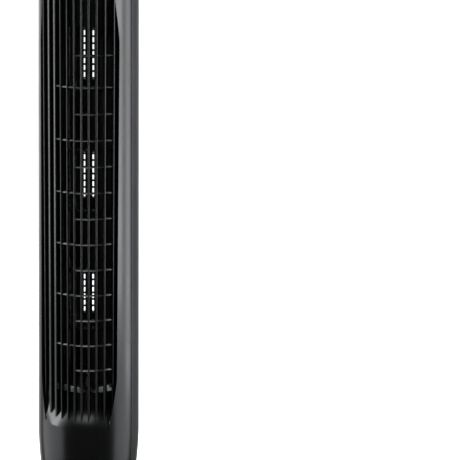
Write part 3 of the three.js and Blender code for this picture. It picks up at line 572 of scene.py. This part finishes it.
def screw_wells():
    """The cutters for the four shell screws' wells, and the hollow posts that line them."""
    well, bore, post, shank = 3.4 * MM, 3.5 * MM, 4.6 * MM, 1.8 * MM
    seat, root, outside = 10.2 * MM, MM, 70 * MM
    wells, collars = Shape(), Shape()
    for name in ("low_left", "low_right", "high_left", "high_right"):
        low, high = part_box(f"shell_screw_{name}")
        x, z = (low.x + high.x) / 2, (low.z + high.z) / 2
        circle = lambda r, y: [(x + r * math.cos(a), y, z + r * math.sin(a)) for a in turn_angles(32)]
        wells.loft([circle(well, 10 * MM), circle(well, outside)])
        mouth = math.sqrt(casing_radius(z) ** 2 - (abs(x) + post) ** 2) - MM
        collars.grid([circle(bore, seat), circle(bore, mouth), circle(post, mouth), circle(post, root),
                      circle(shank, root), circle(shank, seat), circle(bore, seat)], closed=True)
    return wells, collars


def intake_panel():
    """The slatted panel in the back: a frame, level bars and three set-back uprights."""
    panel = Shape()
    depth, frame_angle, upright_angle, set_back = 2.5 * MM, 4.6, 2.2, 1.6 * MM
    face = lambda z: casing_radius(z) - GAP

    def bar(z, height, half_angle, corner):
        loops = []
        for a in spread(180 - half_angle, 180 + half_angle, 36):
            s, c = math.sin(math.radians(a)), math.cos(math.radians(a))
            section = [(face(z) - depth / 2 + u, v) for u, v in rounded_loop(depth, height, corner, 3)]
            loops.append([(r * s, -r * c, z + v) for r, v in section])
        panel.loft(loops)

    for z in (INTAKE_LOW + INTAKE_BORDER / 2, INTAKE_HIGH - INTAKE_BORDER / 2):
        bar(z, INTAKE_BORDER, INTAKE_HALF_ANGLE, 0.6 * MM)
    slot = INTAKE_PITCH - INTAKE_BAR
    z = INTAKE_LOW + INTAKE_BORDER + slot + INTAKE_BAR / 2
    while z < INTAKE_HIGH - INTAKE_BORDER:
        bar(z, INTAKE_BAR, INTAKE_HALF_ANGLE - frame_angle / 2, 0.3 * INTAKE_BAR)
        z += INTAKE_PITCH

    uprights = [(-INTAKE_HALF_ANGLE, frame_angle, 0.0), (INTAKE_HALF_ANGLE - frame_angle, frame_angle, 0.0)]
    uprights += [(middle - upright_angle / 2, upright_angle, set_back) for middle in (-28, 0, 28)]
    for start, wide, inset in uprights:
        loops = []
        for z in spread(INTAKE_LOW + GAP, INTAKE_HIGH - GAP, 4):
            outer = face(z) - inset
            across = [math.radians(a) for a in spread(180 + start, 180 + start + wide, 4)]
            section = [(a, outer) for a in across] + [(a, outer - depth) for a in reversed(across)]
            loops.append([(r * math.sin(a), -r * math.cos(a), z) for a, r in section])
        panel.loft(loops)
    stands_for(made("intake_grille", panel, SATIN), "tower", "shell_satin", "intake_panel")


def grip_cup():
    """The carrying grip: a cup let into the back, its rim following the casing."""
    low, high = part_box("grip_cup")
    wall = 2 * MM
    middle = (low.z + high.z) / 2
    wide, tall, back = high.x, (high.z - low.z) / 2, low.y

    def outline(inset, corner):
        return rounded_loop(2 * (wide - inset), 2 * (tall - inset), corner, 6)

    def ring(points, y_of):
        return [(x, y_of(x, middle + v), middle + v) for x, v in points]

    def rim(inset):
        return lambda x, z: math.sqrt((casing_radius(z) - inset) ** 2 - x * x)

    cup = Shape()
    outside, inside = outline(0, 4 * MM), outline(wall, 3 * MM)
    cup.loft([
        ring(outside, lambda x, z: back), ring(outside, rim(0.6 * MM)),
        ring(outline(0.5 * wall, 3.5 * MM), rim(0.2 * MM)), ring(inside, rim(0.9 * MM)),
        ring(inside, lambda x, z: back + wall + 2 * MM),
        ring(outline(wall + 1.5 * MM, 2 * MM), lambda x, z: back + wall),
    ])
    stands_for(made("grip_moulding", cup, SATIN), "tower", "shell_satin", "grip_cup")


def top_cap():
    """The gloss cap: a turned ring with a round shoulder, a ledge for the panel and a spigot below."""
    r, lip = RADIUS_HIGH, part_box("control_panel")[1].x + GAP
    shoulder = 12 * MM
    outer = [(r - 0.4 * MM, CAP_LOW), (r, CAP_LOW + 0.6 * MM)]
    for a in spread(0, math.pi / 2, 16):
        outer.append((r - shoulder + shoulder * math.cos(a), CAP_TOP - shoulder + shoulder * math.sin(a)))
    rim = [(lip + 0.8 * MM, CAP_TOP), (lip + 0.2 * MM, CAP_TOP - 0.2 * MM), (lip, CAP_TOP - 0.9 * MM)]
    ledge, ledge_in = PANEL_TOP - 3 * MM, lip - 4 * MM
    inside, spigot_in, spigot_out = r - 2.5 * MM, r - 5.3 * MM, r - 2.8 * MM
    spigot_end = CAP_LOW - 7 * MM
    inner = [(lip, ledge), (ledge_in, ledge), (ledge_in, ledge - 2.4 * MM), (inside, CAP_TOP - 14 * MM),
             (inside, CAP_LOW + 4 * MM), (spigot_in, CAP_LOW + 2 * MM), (spigot_in, spigot_end),
             (spigot_out, spigot_end), (spigot_out, CAP_LOW)]
    shape = Shape()
    shape.lathe(outer + rim + inner, 160)
    stands_for(made("cap_moulding", shape, GLOSS), "tower", "shell_gloss", "top_cap")


# ---------- controls ----------
def key_block(box, grow, corner, z_low, z_high, crown=0.0):
    """A rounded key or a cutter for its hole, over a CAD button's outline."""
    low, high = box
    x, y = middle_of(box)
    wide = high.x - low.x - 2 * KEY_FLANGE + 2 * grow
    long = high.y - low.y - 2 * KEY_FLANGE + 2 * grow
    edge = min(0.7 * MM, corner * 0.5) if crown else 0.0
    steps = [(0.0, z_low), (0.0, z_high - edge)]
    if crown:
        for a in spread(0.3, math.pi / 2, 4):
            steps.append((edge * (1 - math.cos(a)), z_high - edge + edge * math.sin(a)))
        steps += [(edge + 1.6 * MM, z_high - crown), (edge + 3 * MM, z_high - 1.3 * crown)]
    loops = []
    for inset, z in steps:
        outline = rounded_loop(wide - 2 * inset, long - 2 * inset, max(corner - inset, 0.3 * MM), 6)
        loops.append(outline_at(outline, x, y, z))
    shape = Shape()
    shape.loft(loops)
    return shape


def flat_arc(shape, x, y, z, radius, width, start, stop):
    """A thin printed arc, its ends in degrees."""
    t, h = PRINT_HALF, width / 2
    loops = []
    for a in spread(math.radians(start), math.radians(stop), 24):
        c, s = math.cos(a), math.sin(a)
        loops.append([(x + (radius + u) * c, y + (radius + u) * s, z + v)
                      for u, v in ((-h, -t), (h, -t), (h, t), (-h, t))])
    shape.loft(loops)


def flat_bar(shape, x, y, z, ends, width):
    """A thin printed stroke between two points, given from the key's middle."""
    (x0, y0), (x1, y1) = ends
    along = Vector((x1 - x0, y1 - y0)).normalized() * width / 2
    t = PRINT_HALF
    loops = []
    for px, py in ((x0, y0), (x1, y1)):
        loops.append([(x + px - along.y * k, y + py + along.x * k, z + v)
                      for k, v in ((-1, -t), (1, -t), (1, t), (-1, t))])
    shape.loft(loops)


def key_icon(name, x, y, z):
    """Plain pictograms: power, fan speed, timer and swing."""
    icon, w, r = Shape(), 0.45 * MM, 2.2 * MM
    if name == "power_button":
        flat_arc(icon, x, y, z, r, w, 125, 415)
        flat_bar(icon, x, y, z, ((0, 0.4 * r), (0, 1.35 * r)), w)
    elif name == "speed_button":
        pitch = 1.5 * MM
        for k, tall in enumerate((0.8, 1.5, 2.2)):
            flat_bar(icon, x + (k - 1) * pitch, y - 1.6 * MM, z, ((0, 0), (0, tall * pitch)), 0.8 * MM)
    elif name == "timer_button":
        flat_arc(icon, x, y, z, r, w, 0, 359.9)
        flat_bar(icon, x, y, z, ((0, 0), (0, 0.7 * r)), w)
        flat_bar(icon, x, y, z, ((0, 0), (0.55 * r, 0)), w)
    else:
        reach, drop, end = r * 1.2, 1.2 * MM, math.radians(30)
        flat_arc(icon, x, y - drop, z, reach, w, 30, 150)
        for side in (-1, 1):
            tip_x, tip_y = side * reach * math.cos(end), -drop + reach * math.sin(end)
            for inwards, up in ((0.2 * MM, 1.1 * MM), (1.1 * MM, 0.1 * MM)):
                flat_bar(icon, x, y, z, ((tip_x, tip_y), (tip_x - side * inwards, tip_y + up)), w)
    return icon


def control_panel():
    """The round panel with its key holes, a pocket for the window, and two posts for the board."""
    low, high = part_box("control_panel")
    r, top, bottom, past = high.x, high.z, high.z - PANEL_THICKNESS, 5 * MM
    axis = 0.0001 * MM
    disc = Shape()
    disc.lathe(filleted([(axis, bottom), (r, bottom), (r, top), (axis, top)], 0.5 * MM), 128)
    panel = made("control_panel_moulding", disc, GLOSS)
    for name in BUTTONS:
        cutter = key_block(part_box(name), GAP, 3.3 * MM, bottom - past, top + past)
        cut(panel, made("hole", cutter, GLOSS))
    window_low, window_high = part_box("indicator_window")
    wide, long = window_high.x - window_low.x, window_high.y - window_low.y
    y = (window_low.y + window_high.y) / 2
    outline = rounded_loop(wide + 2 * GAP, long + 2 * GAP, 2.3 * MM, 6)
    pocket = Shape()
    pocket.loft([outline_at(outline, 0, y, z) for z in (window_low.z - GAP, top + past)])
    cut(panel, made("pocket", pocket, GLOSS))
    posts = Shape()
    for x in (-30 * MM, 30 * MM):
        round_post(posts, x, y, 2.5 * MM, low.z, bottom + 0.2 * MM, 24)
    stands_for(panel, "tower", "shell_gloss", "control_panel")
    stands_for(made("board_posts", posts, GLOSS), "tower", "shell_gloss", "control_panel")


def indicator_lens():
    """The smoked window, with an eased edge."""
    low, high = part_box("indicator_window")
    wide, long, y = high.x - low.x, high.y - low.y, (low.y + high.y) / 2
    loops = []
    for inset, z in [(0, low.z), (0, high.z - 0.3 * MM), (0.1 * MM, high.z - 0.1 * MM), (0.3 * MM, high.z)]:
        outline = rounded_loop(wide - 2 * inset, long - 2 * inset, 2 * MM - inset, 6)
        loops.append(outline_at(outline, 0, y, z))
    lens = Shape()
    lens.loft(loops)
    stands_for(made("indicator_lens", lens, WINDOW), "tower", "window", "indicator_window")


def keys():
    """Each key: a crowned cap, a flange that holds it under the panel, and a stem to its switch."""
    bottom = PANEL_TOP - PANEL_THICKNESS
    flange_low, flange_high = bottom - 1.5 * MM, bottom - 0.3 * MM
    for name in BUTTONS:
        low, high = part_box(name)
        x, y = middle_of((low, high))
        key = key_block((low, high), 0.0, 3 * MM, flange_low, high.z, crown=0.25 * MM)
        flange = rounded_loop(high.x - low.x, high.y - low.y, 3 * MM, 6)
        key.loft([outline_at(flange, x, y, z) for z in (flange_low, flange_high)])
        round_post(key, x, y, 2 * MM, low.z, bottom - MM, 20)
        body = name.replace("_button", "_key")
        stands_for(made(f"{name}_moulding", key, KEY_GREY), body, "inner_plastic", name)
        icon = made(f"{name}_icon", key_icon(name, x, y, high.z - 0.28 * MM), ICON)
        stands_for(icon, body, "inner_plastic")


# ---------- impeller ----------
def impeller():
    """Six sections of curved blades between discs, every second one set round by part of a pitch."""
    low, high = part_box("impeller")
    outer, inner, disc, rounding = 37 * MM, 27.5 * MM, 2 * MM, 0.5 * MM
    lower_bore, lower_boss, upper_bore, upper_boss = 4.3 * MM, 9 * MM, 3.3 * MM, 8 * MM
    start, stop = low.z + 9 * MM, high.z - 5 * MM
    pitch = (stop - start - disc) / SECTIONS
    shape = Shape()

    def ring(bore, radius, bottom, top, steps, segments):
        corners = [(bore, bottom), (radius, bottom), (radius, top), (bore, top)]
        shape.lathe(filleted(corners, rounding, steps), segments)

    for k in range(SECTIONS + 1):
        z = start + k * pitch
        ring(lower_bore if k in (0, SECTIONS) else inner, outer, z, z + disc, 3, 96)
    ring(lower_bore, lower_boss, low.z, start + MM, 4, 40)
    ring(upper_bore, upper_boss, stop - MM, high.z, 4, 40)
    for k in range(SECTIONS):
        z = start + k * pitch + disc / 2
        stagger = 0.0 if k % 2 else STAGGER
        for i in range(BLADES):
            turn = FIRST_BLADE + (i + stagger) * 360 / BLADES
            shape.loft([blade_loop(turn, inner, outer - 0.5 * MM, h) for h in spread(z, z + pitch, 3)])
    stands_for(made("impeller_moulding", shape, INNER), "rotor", "shell_satin", "impeller")


def blade_loop(turn, inner, outer, z):
    """A blade's section: a thin crescent that leans over its depth."""
    steps, lean, bow, half = 8, 13, 2, 0.45 * MM
    line = []
    for t in spread(0, 1, steps):
        r = inner + (outer - inner) * t
        a = math.radians(turn + lean * (t - 0.5) - bow * math.sin(math.pi * t))
        line.append(Vector((r * math.cos(a), r * math.sin(a))))
    left, right = [], []
    for i, p in enumerate(line):
        along = (line[min(i + 1, steps)] - line[max(i - 1, 0)]).normalized()
        thick = half * (0.45 + 0.55 * math.sin(math.pi * (0.12 + 0.76 * i / steps)))
        side = Vector((-along.y, along.x)) * thick
        left.append(p + side)
        right.append(p - side)
    return [(p.x, p.y, z) for p in left + right[::-1]]


# ---------- base ----------
def base_cover():
    """The domed cover, with the cord gland's hole and the four screw posts."""
    low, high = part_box("base_cover")
    rim, top = high.x, high.z
    edge = low.z + 13 * MM
    neck, hole, wall = 58 * MM, 29 * MM, 2.5 * MM

    def dome(inset):
        points = []
        for a in spread(0, math.pi / 2, 28):
            across = (rim - neck) * (1 - math.sin(a))
            up = (top - edge) * (0.35 * (1 - math.cos(a)) + 0.65 * math.sin(a))
            points.append((neck + across - inset * math.cos(a / 2), edge + up - inset * math.sin(a / 2 + 0.5)))
        return points

    foot = [(rim - 0.8 * MM, low.z), (rim - 0.2 * MM, low.z + 0.2 * MM), (rim, low.z + 0.9 * MM)]
    collar = [(hole + 0.5 * MM, top), (hole, top - 0.5 * MM), (hole, top - 3 * MM)]
    shape = Shape()
    shape.lathe(foot + dome(0) + collar + dome(wall)[::-1] + [(rim - wall, low.z)], 192)
    cover = made("base_cover_moulding", shape, GLOSS)
    gland_low, gland_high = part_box("cord_gland")
    z, gland = (gland_low.z + gland_high.z) / 2, 4.9 * MM
    cutter = Shape()
    cutter.loft([[(gland * math.cos(a), y, z + gland * math.sin(a)) for a in turn_angles(40)]
                 for y in (rim - 12 * MM, rim + 5 * MM)])
    cut(cover, made("gland_hole", cutter, GLOSS))
    posts = Shape()
    for i in range(1, 5):
        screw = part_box(f"base_screw_{i}")
        x, y = middle_of(screw)
        round_post(posts, x, y, 4.2 * MM, screw[1].z, edge + MM, 24)
    stands_for(cover, "base", "shell_gloss", "base_cover")
    stands_for(made("base_posts", posts, GLOSS), "base", "shell_gloss", "base_cover")


def foot_pads():
    """Five rubber pads, each with a shallow groove round its underside."""
    r = 9 * MM
    for i in range(1, 6):
        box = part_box(f"rubber_foot_{i}")
        x, y = middle_of(box)
        top, groove = box[1].z, 0.6 * MM
        pad = Shape()
        pad.lathe([(0, top), (r, top), (r, 1.1 * MM), (r - 0.3 * MM, 0.4 * MM), (r - MM, 0), (r - 2.5 * MM, 0),
                   (r - 3 * MM, groove), (r - 4 * MM, groove), (r - 4.5 * MM, 0), (0, 0)], 48, closed=False)
        pad.verts = [v + Vector((x, y, 0)) for v in pad.verts]
        stands_for(made(f"foot_pad_{i}", pad, RUBBER), "base", "rubber", f"rubber_foot_{i}")


def tower_foot():
    """The turned foot: a spigot that turns in the base, a flange, and a collar inside the shells."""
    low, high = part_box("tower_foot")
    rim, inner, spigot = high.x, 20 * MM, 28 * MM
    flange_low, flange_high = 42.6 * MM, 46.2 * MM
    collar = casing_radius(SHELL_LOW) - 4.5 * MM
    collar_in = collar - 2.5 * MM
    profile = [(inner, low.z), (spigot, low.z), (spigot, flange_low), (rim, flange_low), (rim, flange_high),
               (collar, flange_high), (collar, high.z), (collar_in, high.z), (collar_in, flange_high),
               (inner, flange_high)]
    shape = Shape()
    shape.lathe(filleted(profile, 0.6 * MM, 3), 128)
    stands_for(made("tower_foot_moulding", shape, SATIN), "tower", "shell_satin", "tower_foot")


# ---------- CAD nodes that stay: better finishes ----------
def refinish():
    """Gives every CAD node the finish of its material slot in the record."""
    finishes = {
        "inner_plastic": INNER, "shell_satin": SATIN, "rubber": RUBBER, "steel": STEEL, "plated_steel": ZINC,
        "nylon": NYLON, "stator": STATOR, "board": BOARD, "bronze": BRONZE, "shell_gloss": GLOSS, "window": WINDOW,
    }
    slots = {row["node"]: row["material_slot"] for row in frame["record"]["subparts"]}
    for name, node in frame["nodes"].items():
        node.data.materials.clear()
        node.data.materials.append(finishes[slots[name]])


front_shell()
grille()
rear_shell()
intake_panel()
grip_cup()
top_cap()
control_panel()
indicator_lens()
keys()
impeller()
base_cover()
foot_pads()
tower_foot()
refinish()


# ---------- floor, light and camera ----------
def floor():
    """A pale floor that fades into the white room, and that the fan doesn't reflect."""
    size = 6.0
    sheet = Shape()
    sheet.grid([[(-size, -size, 0), (size, -size, 0)], [(-size, size, 0), (size, size, 0)]])
    pale = (0.9, 0.9, 0.9)
    material, shader = principled("pale_floor", pale, 0.7)
    tinted(material, shader, noise(material, 3, 2), (0.86, 0.86, 0.865), pale)
    shader.inputs["Emission Color"].default_value = (1, 1, 1, 1)
    shader.inputs["Emission Strength"].default_value = 0.92
    piece = made("floor", sheet, material, outward=False)
    piece.visible_glossy = False


def softbox(name, azimuth, low, high, width, radiance, distance=1.0):
    """An upright soft light facing the tower, at an azimuth in degrees from the front towards +X."""
    data = bpy.data.lights.new(name, "AREA")
    data.shape, data.size, data.size_y, data.color = "RECTANGLE", width, high - low, COOL_WHITE
    data.energy = radiance * math.pi * width * (high - low)
    light = bpy.data.objects.new(name, data)
    a = math.radians(azimuth)
    light.location = (distance * math.sin(a), -distance * math.cos(a), (low + high) / 2)
    turn_to(light, light.location.z)
    light.visible_camera = False
    bpy.context.collection.objects.link(light)
    return light


def turn_to(light, height):
    """Turns a light to the tower's axis at a height."""
    aim = Vector((0, 0, height)) - light.location
    light.rotation_euler = aim.to_track_quat("-Z", "Y").to_euler()


def overhead():
    """A soft light above and in front, which picks out the grille's cross ribs."""
    light = softbox("overhead_softbox", 5, 1.5, 2.3, 1.2, 6, distance=1.2)
    turn_to(light, 0.45)


def world():
    """A white room seen by the camera; in reflections it is dark but for a glow behind the fan."""
    behind, fade_start, fade_end, dark, bright = (-0.34, 0.94, 0), 0.7, 0.95, 0.04, 1.3
    scene_world = bpy.data.worlds.new("studio")
    bpy.context.scene.world = scene_world
    bpy.context.scene.view_settings.view_transform = "Standard"
    scene_world.use_nodes = True
    nodes, links = scene_world.node_tree.nodes, scene_world.node_tree.links
    background = nodes["Background"]
    place = nodes.new("ShaderNodeTexCoord")
    facing = nodes.new("ShaderNodeVectorMath")
    facing.operation = "DOT_PRODUCT"
    facing.inputs[1].default_value = behind
    glow = nodes.new("ShaderNodeMapRange")
    glow.interpolation_type = "SMOOTHSTEP"
    glow.inputs["From Min"].default_value = fade_start
    glow.inputs["From Max"].default_value = fade_end
    glow.inputs["To Min"].default_value = dark
    glow.inputs["To Max"].default_value = bright
    links.new(place.outputs["Generated"], facing.inputs[0])
    links.new(facing.outputs["Value"], glow.inputs["Value"])
    path = nodes.new("ShaderNodeLightPath")
    mix = nodes.new("ShaderNodeMix")
    links.new(path.outputs["Is Camera Ray"], mix.inputs["Factor"])
    links.new(glow.outputs["Result"], mix.inputs["A"])
    mix.inputs["B"].default_value = 1.0
    links.new(mix.outputs["Result"], background.inputs["Strength"])
    background.inputs["Color"].default_value = (1, 1, 1, 1)


def camera():
    """The photograph's view: from the fan's right, above its middle, with the tower left of centre."""
    azimuth, distance, height = math.radians(17.3), 2.076, 0.933
    pitch, turn = math.radians(14.97), math.radians(4.5432)
    data = bpy.data.cameras.new("camera")
    data.sensor_width = 36
    data.lens = 139.07
    eye = bpy.data.objects.new("camera", data)
    place = Vector((distance * math.sin(azimuth), -distance * math.cos(azimuth), height))
    heading = Matrix.Rotation(azimuth, 4, "Z") @ Matrix.Rotation(math.pi / 2 - pitch, 4, "X")
    eye.matrix_world = Matrix.Translation(place) @ heading @ Matrix.Rotation(-turn, 4, "Y")
    bpy.context.collection.objects.link(eye)
    bpy.context.scene.camera = eye


floor()
for row in SOFTBOXES:
    softbox(*row)
overhead()
world()
camera()
